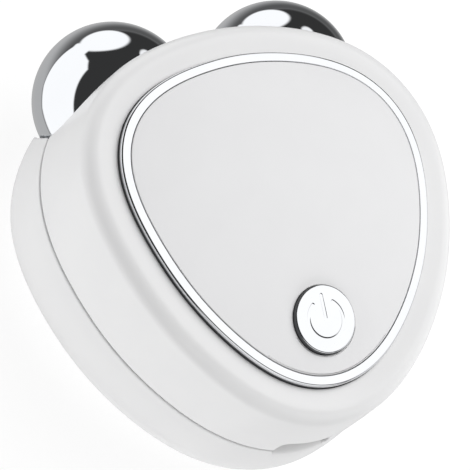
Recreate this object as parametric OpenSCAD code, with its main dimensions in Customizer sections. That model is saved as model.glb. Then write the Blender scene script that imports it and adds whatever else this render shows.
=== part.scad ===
// Handheld facial toning device with two rolling balls, laid on its flat back.
// X runs across the face, Y runs from the charge socket to the balls, Z points out of the face.

/* [Body] */
// Thickness from the flat back to the crown of the face
body_t = 29.2; // [28.6:0.1:30]
// Depth from the crown of the face to the joint between the two shells
front_t = 14.44; // [14.2:0.02:14.8]
// Width of the open joint line between the shells
seam_gap = 0.2; // [0.1:0.02:0.3]
// Mean radius of the face outline along the middle of the trim ring
plan_r = 20.47; // [20:0.05:21.5]
// How far the outline is drawn down towards the socket end
egg = 0.0354; // [0.02:0.002:0.045]
// How strongly the outline has three sides
tri = 0.0767; // [0.06:0.002:0.085]
// How much longer than wide the outline is
oval = 0.0045; // [0:0.0005:0.008]
// How far the outline corners are softened
soft = 0.0083; // [0:0.001:0.012]
// Wall thickness of the shells
wall = 1.8; // [1.5:0.05:2]
// How fast the back rises towards the balls
back_rise = 0.00192; // [0.0014:0.00002:0.0022]

/* [Face] */
// Radius of the face crown across the device
dome_rx = 147; // [120:1:200]
// Radius of the face crown along the device
dome_ry = 103; // [90:1:140]
// Width of the trim ring
ring_w = 1.24; // [1.1:0.02:1.4]
// Height of the trim ring
ring_h = 1.5; // [1.3:0.05:1.6]
// Thickness of the face panel
panel_t = 1.2; // [1:0.05:1.25]
// Thickness of the adhesive sheet under the panel
film_t = 0.15; // [0.1:0.01:0.2]
// Drop from the ring's level to the shoulder around it
shoulder_drop = 0.55; // [0.45:0.01:0.7]

/* [Button] */
// Radius of the power button
btn_r = 4.25; // [4:0.05:4.6]
// Height of the button above the panel
btn_h = 0.5; // [0.4:0.05:0.8]
// Distance of the button's centre in from the socket end of the outline
btn_in = 7.307; // [6.9:0.001:7.6]
// How far the button can be pressed
btn_travel = 0.4; // [0.3:0.05:0.45]
// Running clearance round the button
btn_clear = 0.08; // [0.05:0.01:0.1]

/* [Balls] */
// Radius of each ball
ball_r = 10; // [9.8:0.05:10.2]
// Smallest gap between the two balls
ball_gap = 4.32; // [4:0.05:4.8]
// How far the ball centres stand above the top of the outline
ball_up = 0.45; // [0.2:0.05:0.9]
// Gap between a ball and its socket in the shells
socket_gap = 0.5; // [0.4:0.05:0.6]
// Wall thickness of the hollow metal balls
ball_wall = 0.6; // [0.5:0.05:0.8]
// Wall thickness of the moulded hub inside each ball
hub_wall = 1.6; // [1.2:0.1:2]
// Splay of each axle from the long direction
splay = 40; // [38:0.5:42]

/* [Axles] */
// Radius of the axles
axle_r = 1.5; // [1.3:0.05:1.6]
// Running clearance between an axle and its bush
axle_clear = 0.04; // [0.02:0.01:0.08]
// Wall thickness of the bushes
bush_wall = 0.6; // [0.5:0.05:0.65]
// Thickness of the retaining clips
clip_t = 0.4; // [0.3:0.05:0.45]
// Thickness of the contact leaves
leaf_t = 0.3; // [0.2:0.05:0.35]
// Half thickness of the axle carrier
carrier_h = 3.8; // [3.6:0.1:4]
// Gap between the carrier's halves before the screws close it
split_gap = 0.1; // [0.04:0.01:0.16]

/* [Board] */
// Width of the main board
board_w = 23.6; // [22.8:0.1:24]
// Thickness of the main board
board_t = 1; // [0.8:0.1:1.2]
// Height of the charge socket body
port_h = 2.5; // [2.4:0.05:2.6]
// Width of the charge socket body
port_w = 7.4; // [7:0.1:7.8]
// Length of the charge socket body
port_l = 5; // [4.6:0.1:5.4]

/* [Battery] */
// Width of the battery
batt_w = 16; // [14:0.5:16.5]
// Length of the battery
batt_l = 20; // [18:0.5:22]
// Thickness of the battery
batt_t = 6; // [5:0.1:6.2]

/* [Screws] */
// Thread radius of the case screws
case_screw_r = 1; // [0.9:0.05:1.1]
// Thread radius of the carrier screws
carrier_screw_r = 0.8; // [0.7:0.05:0.85]
// Thread radius of the board screws
board_screw_r = 0.7; // [0.6:0.05:0.75]

/* [Hidden] */
$fn = 48;
steps = 72;
turns = [for (i = [0:steps - 1]) i * 360 / steps];
seam_z = body_t - front_t;
btn_y = rad(180) - btn_in;
half_ring = ring_w / 2;
recess_o = half_ring + 0.06;
floor_d = panel_t + film_t;
ceil_d = floor_d + 1.3;
round_f = 2;
wall_o = 5;
seam_o = 5.5;
belly_o = 6;
round_r = 9;
round_o = belly_o - round_r;
tilt = atan(btn_y / dome_ry);
ball_x = ball_r + ball_gap / 2;
ball_y = rad(0) + ball_up;
socket_r = ball_r + socket_gap;
bush_r = axle_r + axle_clear + bush_wall;
bush_in = ball_r + 4.5;
bush_out = ball_r + 0.9;
axle_in = 3;
press_gap = 0.01;
board_top = seam_z + 3.74;
board_low = board_top - board_t;
carrier_top = seam_z + carrier_h;
carrier_low = seam_z - carrier_h;
leaf_in = bush_in + 1.45;
leaf_end = ray(leaf_in + leaf_t, 1.3).y - 1;
stem_l = 4.95;
plunger_top = dome([0, btn_y]) - stem_l * cos(tilt) - 0.7 * sin(tilt) - 0.05;
switch_y = -btn_y + stem_l * sin(tilt);
batt_low = wall + 0.5;
batt_y = -rad(180) + 6;
port_y = -rad(180) - 4.6;
case_upper = [0.733, 0.147] * plan_r;
case_lower = [0.586, -0.66] * plan_r;
case_spots = [[-case_upper.x, case_upper.y], case_upper, [-case_lower.x, case_lower.y], case_lower];
case_seat = wall + 0.8;
case_bite = 5.84;
carrier_bite = 2.4;
board_bite = 3;
thread_gap = 0.02;
carrier_side = ray(bush_in - 1.1, bush_r + 2.9);
carrier_nose = ray(bush_in - 0.1, -bush_r - 0.76);
carrier_spots = [[-carrier_side.x, carrier_side.y], carrier_side, [0, carrier_nose.y + 1.96]];
board_o = seam_o - wall - 0.7;
board_end = carrier_side.y - 2.8;
board_ear = [board_w / 2 - 2.2, board_end - 2.6];
board_spots = [[-board_ear.x, board_ear.y], board_ear, [6.2, -rad(180) + 2.23]];
board_mid = (board_end + port_y) / 2;
plug_x = 3.2 - board_w / 2;
plug_y = board_end - 6;
plug_z = board_low - 2.1;
lead_turn = [batt_y + 0.5, batt_low + batt_t + 1.3];
shell_white = [0.93, 0.925, 0.91];
bright = [0.86, 0.87, 0.89];
steel = [0.7, 0.71, 0.73];

// Radius of the outline at a turn from the ball end, and its rate of change
function rad(a) = plan_r * (1 - egg * cos(a) + oval * cos(2 * a) - tri * cos(3 * a) + soft * cos(6 * a));
function bend(a) =
    plan_r * (egg * sin(a) - 2 * oval * sin(2 * a) + 3 * tri * sin(3 * a) - 6 * soft * sin(6 * a));

// Plan point a distance o outside the outline, measured square to it
function spot(a, o) =
    let (r = rad(a), s = bend(a), m = sqrt(r * r + s * s))
    [r * sin(a) + o * (r * sin(a) - s * cos(a)) / m, r * cos(a) + o * (r * cos(a) + s * sin(a)) / m];

// Plan point back along the right axle from its ball's centre, and w to its outer side
function ray(s, w) = [ball_x - s * sin(splay) + w * cos(splay), ball_y - s * cos(splay) - w * sin(splay)];

// Direction of a vector
function unit(d) = d / norm(d);

// Height of the crowned face at a plan point
function dome(p) = body_t - p.x * p.x / (2 * dome_rx) - p.y * p.y / (2 * dome_ry);

// Height of the flat shoulder beside the ring
function ledge(a) = dome(spot(a, 2)) - shoulder_drop;

// How much of its full depth the back keeps at a distance towards the balls
function keep(y) = 1 - back_rise * pow(max(0, y - 6), 2);

// Rings of points round the outline: under the face, at a height, on the shoulder, on the back
function lid(o, k, d) = [for (a = turns) let (p = k * spot(a, o)) [p.x, p.y, dome(p) - d]];
function level(o, z) = [for (a = turns) let (p = spot(a, o)) [p.x, p.y, z]];
function brow(o, d) = [for (a = turns) let (p = spot(a, o)) [p.x, p.y, ledge(a) - d]];
function side(o, t, d) =
    [for (a = turns) let (p = spot(a, o)) [p.x, p.y, (ledge(a) - d) * (1 - t) + t * seam_z]];
function back(o, k, z, up) =
    [for (a = turns) let (p = k * spot(a, o)) [p.x, p.y, seam_z + (z - seam_z) * keep(p.y) + up]];

// Closed skin through rings of points, with a middle point at each end
module skin(rings, head, tail) {
    n = len(rings) * steps;
    sides = [for (i = [0:len(rings) - 2]) for (j = [0:steps - 1])
        let (k = (j + 1) % steps, u = i * steps, v = u + steps)
        each [[u + j, v + j, v + k], [u + j, v + k, u + k]]];
    first = [for (j = [0:steps - 1]) [n, j, (j + 1) % steps]];
    last = [for (j = [0:steps - 1]) [n + 1, n - steps + (j + 1) % steps, n - steps + j]];
    polyhedron([for (r = rings) each r, head, tail], concat(sides, first, last));
}

// Closed hoop through rings of points, the last ring joined to the first
module hoop(rings) {
    n = len(rings) * steps;
    sides = [for (i = [0:len(rings) - 1]) for (j = [0:steps - 1])
        let (k = (j + 1) % steps, u = i * steps, v = (u + steps) % n)
        each [[u + j, v + j, v + k], [u + j, v + k, u + k]]];
    polyhedron([for (r = rings) each r], sides);
}

// Flat plate with round corners
module plate(w, l, h, r) {
    linear_extrude(h) {
        square([w - 2 * r, l], center = true);
        square([w, l - 2 * r], center = true);
        for (x = [-1, 1]) for (y = [-1, 1]) translate([x * (w / 2 - r), y * (l / 2 - r)]) circle(r);
    }
}

// Round wire swept through a list of points, its ends square to the first and last stretch
module wire(pts, r) {
    m = len(pts);
    n = 10;
    rings = [for (i = [0:m - 1])
        let (d = unit(pts[min(i + 1, m - 1)] - pts[max(i - 1, 0)]), u = unit(cross([1, 0.2, 0], d)))
        let (v = cross(d, u))
        for (q = [0:n - 1]) pts[i] + r * (cos(q * 360 / n) * u + sin(q * 360 / n) * v)];
    sides = [for (i = [0:m - 2]) for (q = [0:n - 1])
        let (k = (q + 1) % n, a = i * n, b = a + n) each [[a + q, b + q, b + k], [a + q, b + k, a + k]]];
    polyhedron(rings, concat(sides, [[for (q = [0:n - 1]) q], [for (q = [n - 1:-1:0]) (m - 1) * n + q]]));
}

// Frame with its origin on the face under the button and its Z along the press
module on_button() {
    translate([0, -btn_y, dome([0, btn_y])]) rotate([tilt, 0, 0]) children();
}

// Frame with its origin at a ball centre and its Z along the axle, outwards
module on_axle(hand) {
    translate([hand * ball_x, ball_y, seam_z]) rotate([-90, 0, -hand * splay]) children();
}

// Screw with its head down, seated at the origin, with a cross recess
module screw(r, length, head_r, head_h) {
    difference() {
        union() {
            cylinder(h = length, r = r);
            translate([0, 0, -head_h]) cylinder(h = head_h, r = head_r);
        }
        for (q = [0, 90]) rotate([0, 0, q])
            translate([-head_r * 0.6, -head_r * 0.13, -head_h - 0.1])
                cube([head_r * 1.2, head_r * 0.26, head_h * 0.5 + 0.1]);
    }
}

// Post under the ceiling of the front shell
module post(p, r, low) {
    translate([p.x, p.y, low]) cylinder(h = dome(p) - floor_d - 0.6 - low, r = r);
}

module sockets() {
    for (h = [-1, 1]) translate([h * ball_x, ball_y, seam_z]) sphere(socket_r, $fn = 96);
}

// Opening for the charge plug, cut up from the joint line
module port_hole() {
    translate([0, port_y - 4, board_low + 0.2 - 3]) rotate([-90, 0, 0]) plate(port_w + 0.5, 6, 9, 0.8);
}

module front_shell() {
    color(shell_white) difference() {
        union() {
            skin([
                lid(-recess_o, 0.25, floor_d), lid(-recess_o, 0.5, floor_d), lid(-recess_o, 0.75, floor_d),
                lid(-recess_o, 1, floor_d), lid(-recess_o, 1, ring_h + 0.02), lid(recess_o, 1, ring_h + 0.02),
                brow(recess_o, 0), brow(2, 0), brow(wall_o - round_f, 0),
                brow(wall_o - round_f * 0.617, round_f * 0.076),
                brow(wall_o - round_f * 0.293, round_f * 0.293),
                brow(wall_o - round_f * 0.076, round_f * 0.617), side(wall_o, 0, round_f),
                side(wall_o + 0.19, 0.25, round_f), side(wall_o + 0.34, 0.5, round_f),
                side(wall_o + 0.45, 0.75, round_f), level(seam_o, seam_z + seam_gap / 2),
                level(seam_o - 1.1, seam_z + seam_gap / 2), level(seam_o - 1.1, seam_z - 1),
                level(seam_o - wall, seam_z - 1), side(wall_o + 0.34 - wall, 0.5, round_f),
                side(wall_o - wall, 0, round_f + 0.9), brow(wall_o - wall - 0.6, round_f + 0.3),
                brow(1, round_f - 0.1), lid(-0.7, 1, ceil_d), lid(-0.7, 0.75, ceil_d), lid(-0.7, 0.5, ceil_d),
                lid(-0.7, 0.25, ceil_d)
            ], [0, 0, body_t - floor_d], [0, 0, body_t - ceil_d]);
            for (p = case_spots) post(p, 2.4, seam_z - 0.6);
            for (p = carrier_spots) post(p, 2, carrier_top);
            for (p = board_spots) post(p, 1.8, board_top);
            on_button() translate([0, 0, -ceil_d - 0.35]) cylinder(h = 1.2, r = btn_r + 1.5);
        }
        for (p = case_spots) translate([p.x, p.y, seam_z - 1])
            cylinder(h = case_bite + 2.2, r = case_screw_r + thread_gap);
        for (p = carrier_spots) translate([p.x, p.y, carrier_top - 1])
            cylinder(h = carrier_bite + 3.1, r = carrier_screw_r + thread_gap);
        for (p = board_spots) translate([p.x, p.y, board_top - 1])
            cylinder(h = board_bite + 2, r = board_screw_r + thread_gap);
        on_button() translate([0, 0, -8]) cylinder(h = 10, r = btn_r + btn_clear);
        sockets();
        port_hole();
    }
}

module rear_shell() {
    lip = seam_z - 1.15;
    color(shell_white) difference() {
        union() {
            skin([
                back(round_o, 0.4, 0, wall), back(round_o, 0.7, 0, wall), back(round_o, 1, 0, wall),
                for (q = [75, 60, 45, 30, 15, 0])
                    back(round_o + (round_r - wall) * cos(q), 1, round_r * (1 - sin(q)), wall * sin(q)),
                back(seam_o - wall + 0.1, 1, lip - 2, 0), level(seam_o - wall - 0.1, lip),
                level(seam_o - 1.02, lip), level(seam_o - 1.02, seam_z - seam_gap / 2),
                level(seam_o, seam_z - seam_gap / 2), back(seam_o + 0.3, 1, seam_z - 2, 0),
                back(belly_o - 0.06, 1, seam_z - 3.8, 0),
                for (q = [0, 15, 30, 45, 60, 75, 90])
                    back(round_o + round_r * cos(q), 1, round_r * (1 - sin(q)), 0),
                back(round_o, 0.7, 0, 0), back(round_o, 0.4, 0, 0)
            ], [0, 0, wall], [0, 0, 0]);
            for (p = case_spots) translate([p.x, p.y, 0.9]) cylinder(h = seam_z - 1.55, r = 2.6);
        }
        for (p = case_spots) {
            translate([p.x, p.y, -1]) cylinder(h = case_seat + 1, r = 2.1);
            translate([p.x, p.y, 0]) cylinder(h = seam_z, r = case_screw_r + 0.15);
        }
        sockets();
    }
}

module trim_ring() {
    color(bright) hoop([
        lid(-half_ring, 1, 0.1), lid(-half_ring + 0.1, 1, 0), lid(half_ring - 0.14, 1, 0),
        lid(half_ring - 0.04, 1, 0.04), lid(half_ring, 1, 0.14), lid(half_ring, 1, ring_h),
        lid(-half_ring, 1, ring_h)
    ]);
}

module face_panel() {
    o = -recess_o;
    color([0.88, 0.88, 0.88]) difference() {
        skin([
            lid(o, 0.25, 0), lid(o, 0.5, 0), lid(o, 0.75, 0), lid(o - 0.1, 1, 0), lid(o, 1, 0.1),
            lid(o, 1, panel_t), lid(o, 0.75, panel_t), lid(o, 0.5, panel_t), lid(o, 0.25, panel_t)
        ], [0, 0, body_t], [0, 0, body_t - panel_t]);
        on_button() translate([0, 0, -3]) cylinder(h = 6, r = btn_r + btn_clear);
    }
}

module panel_adhesive() {
    o = -recess_o;
    upper = panel_t + press_gap;
    lower = floor_d - press_gap;
    color([0.75, 0.72, 0.6]) difference() {
        skin([
            lid(o, 0.25, upper), lid(o, 0.5, upper), lid(o, 0.75, upper), lid(o, 1, upper),
            lid(o, 1, lower), lid(o, 0.75, lower), lid(o, 0.5, lower), lid(o, 0.25, lower)
        ], [0, 0, body_t - upper], [0, 0, body_t - lower]);
        on_button() translate([0, 0, -3]) cylinder(h = 6, r = btn_r + 0.5);
    }
}

module power_button() {
    color(bright) on_button() difference() {
        union() {
            rotate_extrude() polygon([
                [0, btn_h], [btn_r - 0.24, btn_h], [btn_r - 0.07, btn_h - 0.07], [btn_r, btn_h - 0.24],
                [btn_r, -ceil_d - 0.45], [btn_r + 0.9, -ceil_d - 0.45], [btn_r + 0.9, -ceil_d - 1.15],
                [1.8, -ceil_d - 1.15], [1.8, 0.5 - stem_l], [0.7, 0.3 - stem_l], [0.7, -stem_l], [0, -stem_l]
            ]);
        }
        difference() {
            translate([0, 0, btn_h - 0.1]) cylinder(h = 1, r = 2.72);
            translate([0, 0, btn_h - 0.2]) cylinder(h = 2, r = 2.4);
            linear_extrude(4) polygon([[0, 0], [-3.4, 4], [3.4, 4]]);
        }
        translate([-0.16, 0, btn_h - 0.1]) cube([0.32, 2.95, 1]);
    }
}

module tact_switch() {
    top = plunger_top - btn_travel - 0.65;
    color([0.12, 0.12, 0.13]) difference() {
        translate([0, switch_y, board_top]) plate(6, 6, top - board_top, 0.4);
        translate([0, switch_y, board_top + 0.8]) cylinder(h = top - board_top, r = 1.66);
    }
}

module switch_plunger() {
    color([0.3, 0.3, 0.32]) translate([0, switch_y, plunger_top - 2]) cylinder(h = 2, r = 1.6);
}

module main_board() {
    color([0.07, 0.3, 0.16]) difference() {
        translate([0, 0, board_low]) linear_extrude(board_t) difference() {
            intersection() {
                polygon([for (a = turns) spot(a, board_o)]);
                translate([-board_w / 2, board_end - 40]) square([board_w, 40]);
            }
            for (p = case_spots) translate(p) circle(2.9);
        }
        for (p = board_spots) translate([p.x, p.y, board_low - 1]) cylinder(h = 4, r = board_screw_r + 0.15);
    }
}

module board_screws() {
    color(steel) for (p = board_spots) translate([p.x, p.y, board_low])
        screw(board_screw_r, board_t + board_bite, 1.4, 0.8);
}

module control_chip() {
    color([0.09, 0.09, 0.1]) translate([-5.5, board_mid + 0.5, board_low - 0.9]) plate(5, 5, 0.9, 0.2);
}

module charge_chip() {
    color([0.09, 0.09, 0.1]) translate([4.6, board_mid - 3, board_low - 0.9]) plate(3, 3, 0.9, 0.2);
}

module boost_coil() {
    color([0.2, 0.2, 0.21]) translate([5.5, board_mid + 4.5, board_low - 2.4]) {
        plate(4.4, 4.4, 0.6, 0.6);
        translate([0, 0, 0.6]) cylinder(h = 1.2, r = 1.6);
        translate([0, 0, 1.8]) plate(4.4, 4.4, 0.6, 0.6);
    }
}

module board_capacitors() {
    color([0.66, 0.5, 0.32]) for (p = [[-5.5, -4.5], [-3.2, -4.5], [1.4, 4.5], [1.4, 1.5], [-1.5, 0.5]])
        translate([p.x, board_mid + p.y, board_low - 0.8]) plate(1, 1.8, 0.8, 0.08);
}

module board_resistors() {
    color([0.14, 0.14, 0.15]) for (p = [[-2.4, 5], [-0.9, 5], [3.6, 0.1], [5, 0.1], [8, -0.1]])
        translate([p.x, board_mid + p.y, board_low - 0.45]) plate(0.8, 1.6, 0.45, 0.05);
}

module charge_socket_shell() {
    color(steel) difference() {
        translate([0, port_y + port_l / 2, board_low - port_h]) plate(port_w, port_l, port_h, 0.05);
        translate([0, port_y + (port_l - 0.6) / 2 - 0.5, board_low - port_h + 0.3])
            plate(port_w - 0.6, port_l + 0.4, port_h - 0.6, 0.05);
    }
}

module charge_socket_tongue() {
    color([0.1, 0.1, 0.11]) translate([0, port_y + port_l / 2 + 0.35, board_low - port_h / 2 - 0.35])
        plate(port_w - 3.6, port_l - 1.9, 0.7, 0.1);
}

module battery_cell() {
    color([0.62, 0.64, 0.68]) translate([0, batt_y + batt_l / 2, batt_low])
        plate(batt_w, batt_l, batt_t, 1.2);
}

module battery_board() {
    color([0.8, 0.6, 0.15]) translate([0, batt_y - 0.9, batt_low + 1.5])
        plate(batt_w - 4, 1.7, batt_t / 2, 0.2);
}

module battery_foam() {
    color([0.2, 0.2, 0.22]) translate([0, batt_y + batt_l / 2, wall]) plate(batt_w - 4, batt_l - 6, 0.5, 0.5);
}

module battery_plug() {
    color([0.9, 0.89, 0.85]) translate([plug_x, plug_y, board_low - 3]) plate(4.6, 3.6, 3, 0.3);
}

// Lead from the battery's small board, up over the end of the cell and into the plug
module battery_lead(x, side) {
    wire([[x, batt_y - 2.12, batt_low + 3.4], [x, batt_y - 3, batt_low + 5],
        [x - 2.3, lead_turn.x, lead_turn.y], [plug_x + side + 2.4, plug_y - 6.6, plug_z - 3.4],
        [plug_x + side, plug_y - 3.6, plug_z], [plug_x + side, plug_y - 1.82, plug_z]], 0.45);
}

module battery_lead_red() {
    color([0.75, 0.06, 0.05]) battery_lead(-1.6, 0.8);
}

module battery_lead_black() {
    color([0.05, 0.05, 0.05]) battery_lead(-3.4, -0.8);
}

// Flat shape with a left side that mirrors its right side
module mirrored(pts) {
    polygon(concat(pts, [for (i = [len(pts) - 1:-1:0]) [-pts[i].x, pts[i].y]]));
}

// One half of the carrier, lying on its parting face, with a roof 1 thick over the pocket
module carrier_half() {
    difference() {
        linear_extrude(carrier_h - split_gap / 2) difference() {
            mirrored([ray(bush_out, -3.9), ray(bush_out, 4.4), [carrier_side.x + 2.4, carrier_side.y - 2.2]]);
            for (p = carrier_spots) translate(p) circle(carrier_screw_r + 0.15);
        }
        translate([0, 0, -1]) linear_extrude(carrier_h - split_gap / 2)
            mirrored([
                carrier_nose, ray(bush_in - 0.1, bush_r + 0.56), [ray(bush_in, bush_r + 0.5).x, leaf_end]
            ]);
    }
}

// Room for the bushes and the contact leaves
module carrier_cuts() {
    for (h = [-1, 1]) on_axle(h) translate([0, 0, -bush_in - 0.3]) cylinder(h = 6, r = bush_r + 0.02);
}

module leaf_slots() {
    for (h = [-1, 1]) on_axle(h) translate([-1.3, -carrier_h - 1, -leaf_in - leaf_t - 0.06])
        cube([2.6, carrier_h + 1, leaf_t + 0.12]);
}

module carrier_front() {
    color([0.16, 0.17, 0.19]) difference() {
        translate([0, 0, seam_z + split_gap / 2]) carrier_half();
        carrier_cuts();
        leaf_slots();
    }
}

module carrier_rear() {
    color([0.16, 0.17, 0.19]) difference() {
        translate([0, 0, seam_z - split_gap / 2]) mirror([0, 0, 1]) carrier_half();
        carrier_cuts();
    }
}

module carrier_screws() {
    color(steel) for (p = carrier_spots) translate([p.x, p.y, carrier_low])
        screw(carrier_screw_r, 2 * carrier_h + carrier_bite, 1.5, 1.1);
}

module axle(hand) {
    color(steel) on_axle(hand) difference() {
        union() {
            translate([0, 0, -leaf_in + 0.05]) cylinder(h = leaf_in + axle_in, r = axle_r);
            translate([0, 0, 0.1 - bush_out]) cylinder(h = bush_out - ball_r, r = axle_r + 0.7);
        }
        translate([0, 0, -bush_in - 0.1 - clip_t - 0.02]) difference() {
            cylinder(h = clip_t + 0.04, r = axle_r + 1);
            cylinder(h = clip_t + 0.04, r = axle_r - 0.35);
        }
    }
}

module ball(hand) {
    color(bright) on_axle(hand) difference() {
        sphere(ball_r, $fn = 96);
        sphere(ball_r - ball_wall, $fn = 96);
        translate([0, 0, -ball_r - 1]) cylinder(h = ball_r, r = axle_r + press_gap);
    }
}

module hub(hand) {
    color([0.75, 0.75, 0.73]) on_axle(hand) difference() {
        intersection() {
            translate([0, 0, -ball_r]) cylinder(h = 2 * ball_r, r = axle_r + hub_wall);
            sphere(ball_r - ball_wall - press_gap, $fn = 96);
        }
        translate([0, 0, -ball_r - 1]) cylinder(h = ball_r + axle_in + 1.1, r = axle_r + press_gap);
    }
}

module bush(hand) {
    color([0.72, 0.5, 0.26]) on_axle(hand) difference() {
        translate([0, 0, -bush_in]) cylinder(h = bush_in - bush_out, r = bush_r);
        translate([0, 0, -bush_in - 1]) cylinder(h = 8, r = axle_r + axle_clear);
    }
}

module clip(hand) {
    color(steel) on_axle(hand) translate([0, 0, -bush_in - 0.1 - clip_t]) difference() {
        cylinder(h = clip_t, r = axle_r + 0.8);
        translate([0, 0, -1]) cylinder(h = 3, r = axle_r - 0.33);
        translate([-0.8, 0, -1]) cube([1.6, 5, 3]);
    }
}

module wiper(hand) {
    color([0.8, 0.62, 0.3]) on_axle(hand) translate([-1.2, -carrier_h - 0.9, -leaf_in - leaf_t])
        cube([2.4, carrier_h + 2.4, leaf_t]);
}

module electrode_lead(hand) {
    s = leaf_in + leaf_t + 0.45;
    x = hand * (ball_x - s * sin(splay));
    y = ball_y - s * cos(splay);
    color([0.85, 0.85, 0.82]) wire([
        [x, y, carrier_top + 0.6], [x, y - 1.2, carrier_top + 1.4],
        [hand * 2.6, board_end + 0.4, carrier_top + 1.4], [hand * 3, board_end - 1, board_top + 0.9],
        [hand * 3, board_end - 1, board_top + 0.02]
    ], 0.4);
}

module axle_left() {
    axle(-1);
}

module axle_right() {
    axle(1);
}

module ball_left() {
    ball(-1);
}

module ball_right() {
    ball(1);
}

module hub_left() {
    hub(-1);
}

module hub_right() {
    hub(1);
}

module bush_left() {
    bush(-1);
}

module bush_right() {
    bush(1);
}

module clip_left() {
    clip(-1);
}

module clip_right() {
    clip(1);
}

module wiper_left() {
    wiper(-1);
}

module wiper_right() {
    wiper(1);
}

module electrode_lead_left() {
    electrode_lead(-1);
}

module electrode_lead_right() {
    electrode_lead(1);
}

module case_screws() {
    color(steel) for (p = case_spots) translate([p.x, p.y, case_seat])
        screw(case_screw_r, seam_z + case_bite - case_seat, 1.9, 1.2);
}

front_shell();
rear_shell();
trim_ring();
face_panel();
panel_adhesive();
power_button();
tact_switch();
switch_plunger();
main_board();
board_screws();
control_chip();
charge_chip();
boost_coil();
board_capacitors();
board_resistors();
charge_socket_shell();
charge_socket_tongue();
battery_cell();
battery_board();
battery_foam();
battery_plug();
battery_lead_red();
battery_lead_black();
carrier_front();
carrier_rear();
carrier_screws();
axle_left();
axle_right();
ball_left();
ball_right();
hub_left();
hub_right();
bush_left();
bush_right();
clip_left();
clip_right();
wiper_left();
wiper_right();
electrode_lead_left();
electrode_lead_right();
case_screws();
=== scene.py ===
import math
import bpy
import numpy as np
from mathutils import Matrix, Vector


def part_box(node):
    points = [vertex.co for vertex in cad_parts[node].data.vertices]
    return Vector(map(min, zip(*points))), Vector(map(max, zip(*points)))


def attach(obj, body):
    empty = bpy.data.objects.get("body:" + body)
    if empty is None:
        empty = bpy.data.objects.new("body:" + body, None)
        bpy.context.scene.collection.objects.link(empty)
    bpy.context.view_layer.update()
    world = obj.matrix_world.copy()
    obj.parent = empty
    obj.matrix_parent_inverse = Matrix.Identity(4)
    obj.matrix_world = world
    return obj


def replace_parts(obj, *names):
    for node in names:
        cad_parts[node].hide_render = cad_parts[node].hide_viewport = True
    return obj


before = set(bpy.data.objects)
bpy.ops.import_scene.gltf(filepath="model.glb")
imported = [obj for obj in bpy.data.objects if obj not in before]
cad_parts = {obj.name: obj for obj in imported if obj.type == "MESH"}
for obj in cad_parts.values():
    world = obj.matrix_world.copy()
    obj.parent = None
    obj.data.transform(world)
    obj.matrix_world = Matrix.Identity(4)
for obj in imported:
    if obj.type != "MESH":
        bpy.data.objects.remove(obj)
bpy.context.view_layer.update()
mm = 0.001
print("frame loaded:", len(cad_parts), "nodes")

# case, in millimetres; a name that ends in O is an offset outwards from the plan outline
body = dict(thick=29.2, seam=14.76, gap=0.2, planR=20.47, egg=0.0354, tri=0.0767, oval=0.0045, soft=0.0083,
            wall=1.8, crownX=147, crownY=103, drop=0.55, ledgeO=2, fillet=2.0, wallO=5.0, lean=0.86, bend=0.36,
            seamO=5.5, wideO=6, bow=0.5, wallShare=0.288, backRound=9.0, backO=-3.0, backRise=0.00192,
            riseFrom=6, socketR=10.5, edge=0.28, seamEdge=0.26, columns=880)


def evenAngles(n):
    # n angles at equal steps round one turn
    return np.linspace(0, 2 * math.pi, n, endpoint=False)


def radius(a):
    # outline radius = planR x (1 - egg cos a + oval cos 2a - tri cos 3a + soft cos 6a), a from +Y towards +X
    b = body
    return b["planR"] * (1 - b["egg"] * np.cos(a) + b["oval"] * np.cos(2 * a) - b["tri"] * np.cos(3 * a)
                         + b["soft"] * np.cos(6 * a))


def spot(a, o):
    # plan point a distance o outside the outline, measured square to it
    b = body
    r = radius(a)
    s = b["planR"] * (b["egg"] * np.sin(a) - 2 * b["oval"] * np.sin(2 * a) + 3 * b["tri"] * np.sin(3 * a)
                      - 6 * b["soft"] * np.sin(6 * a))
    m = np.sqrt(r * r + s * s)
    return (r * np.sin(a) + o * (r * np.sin(a) - s * np.cos(a)) / m,
            r * np.cos(a) + o * (r * np.cos(a) + s * np.sin(a)) / m)


def dome(x, y):
    # crowned face: a height that falls with the square of the distance along both directions
    return body["thick"] - x * x / (2 * body["crownX"]) - y * y / (2 * body["crownY"])


def ledge(a):
    # height of the level shoulder round the ring: the dome just outside the outline, less the drop
    x, y = spot(a, body["ledgeO"])
    return dome(x, y) - body["drop"]


def keep(y):
    # share of the rear shell's depth left at y, so that its back lifts towards the balls:
    # 1 - backRise x (y - riseFrom) squared, and 1 before riseFrom
    return 1 - body["backRise"] * np.maximum(0, y - body["riseFrom"]) ** 2


def stack(x, y, z):
    # points from three coordinates, each spread to the same shape
    x, y, z = np.broadcast_arrays(x, y, z)
    return np.stack([x, y, z], axis=-1).astype(float)


def unit(v):
    # vectors over their own length
    return v / np.maximum(np.linalg.norm(v, axis=-1, keepdims=True), 1e-12)


def smooth(v):
    # 3 v squared - 2 v cubed between 0 and 1, level at both ends
    v = np.clip(v, 0, 1)
    return v * v * (3 - 2 * v)


def lid(a, o, k, d):
    # ring at offset o from the outline, scaled by k about the middle, at a depth d under the dome
    x, y = spot(a, o)
    return stack(k * x, k * y, dome(k * x, k * y) - d)


def brow(a, o, d):
    # ring at offset o, at a depth d under the shoulder
    x, y = spot(a, o)
    return stack(x, y, ledge(a) - d)


def level(a, o, z):
    # ring at offset o and height z
    x, y = spot(a, o)
    return stack(x, y, z + 0 * x)


def frontSkin(a, t):
    # side wall of the front shell: t = 0 under the shoulder, 1 at the joint; it leans out as it goes down
    # offset = wallO + lean t - bend t squared
    x, y = spot(a, body["wallO"] + body["lean"] * t - body["bend"] * t * t)
    return stack(x, y, (ledge(a) - body["fillet"]) * (1 - t) + t * body["seam"])


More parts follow.
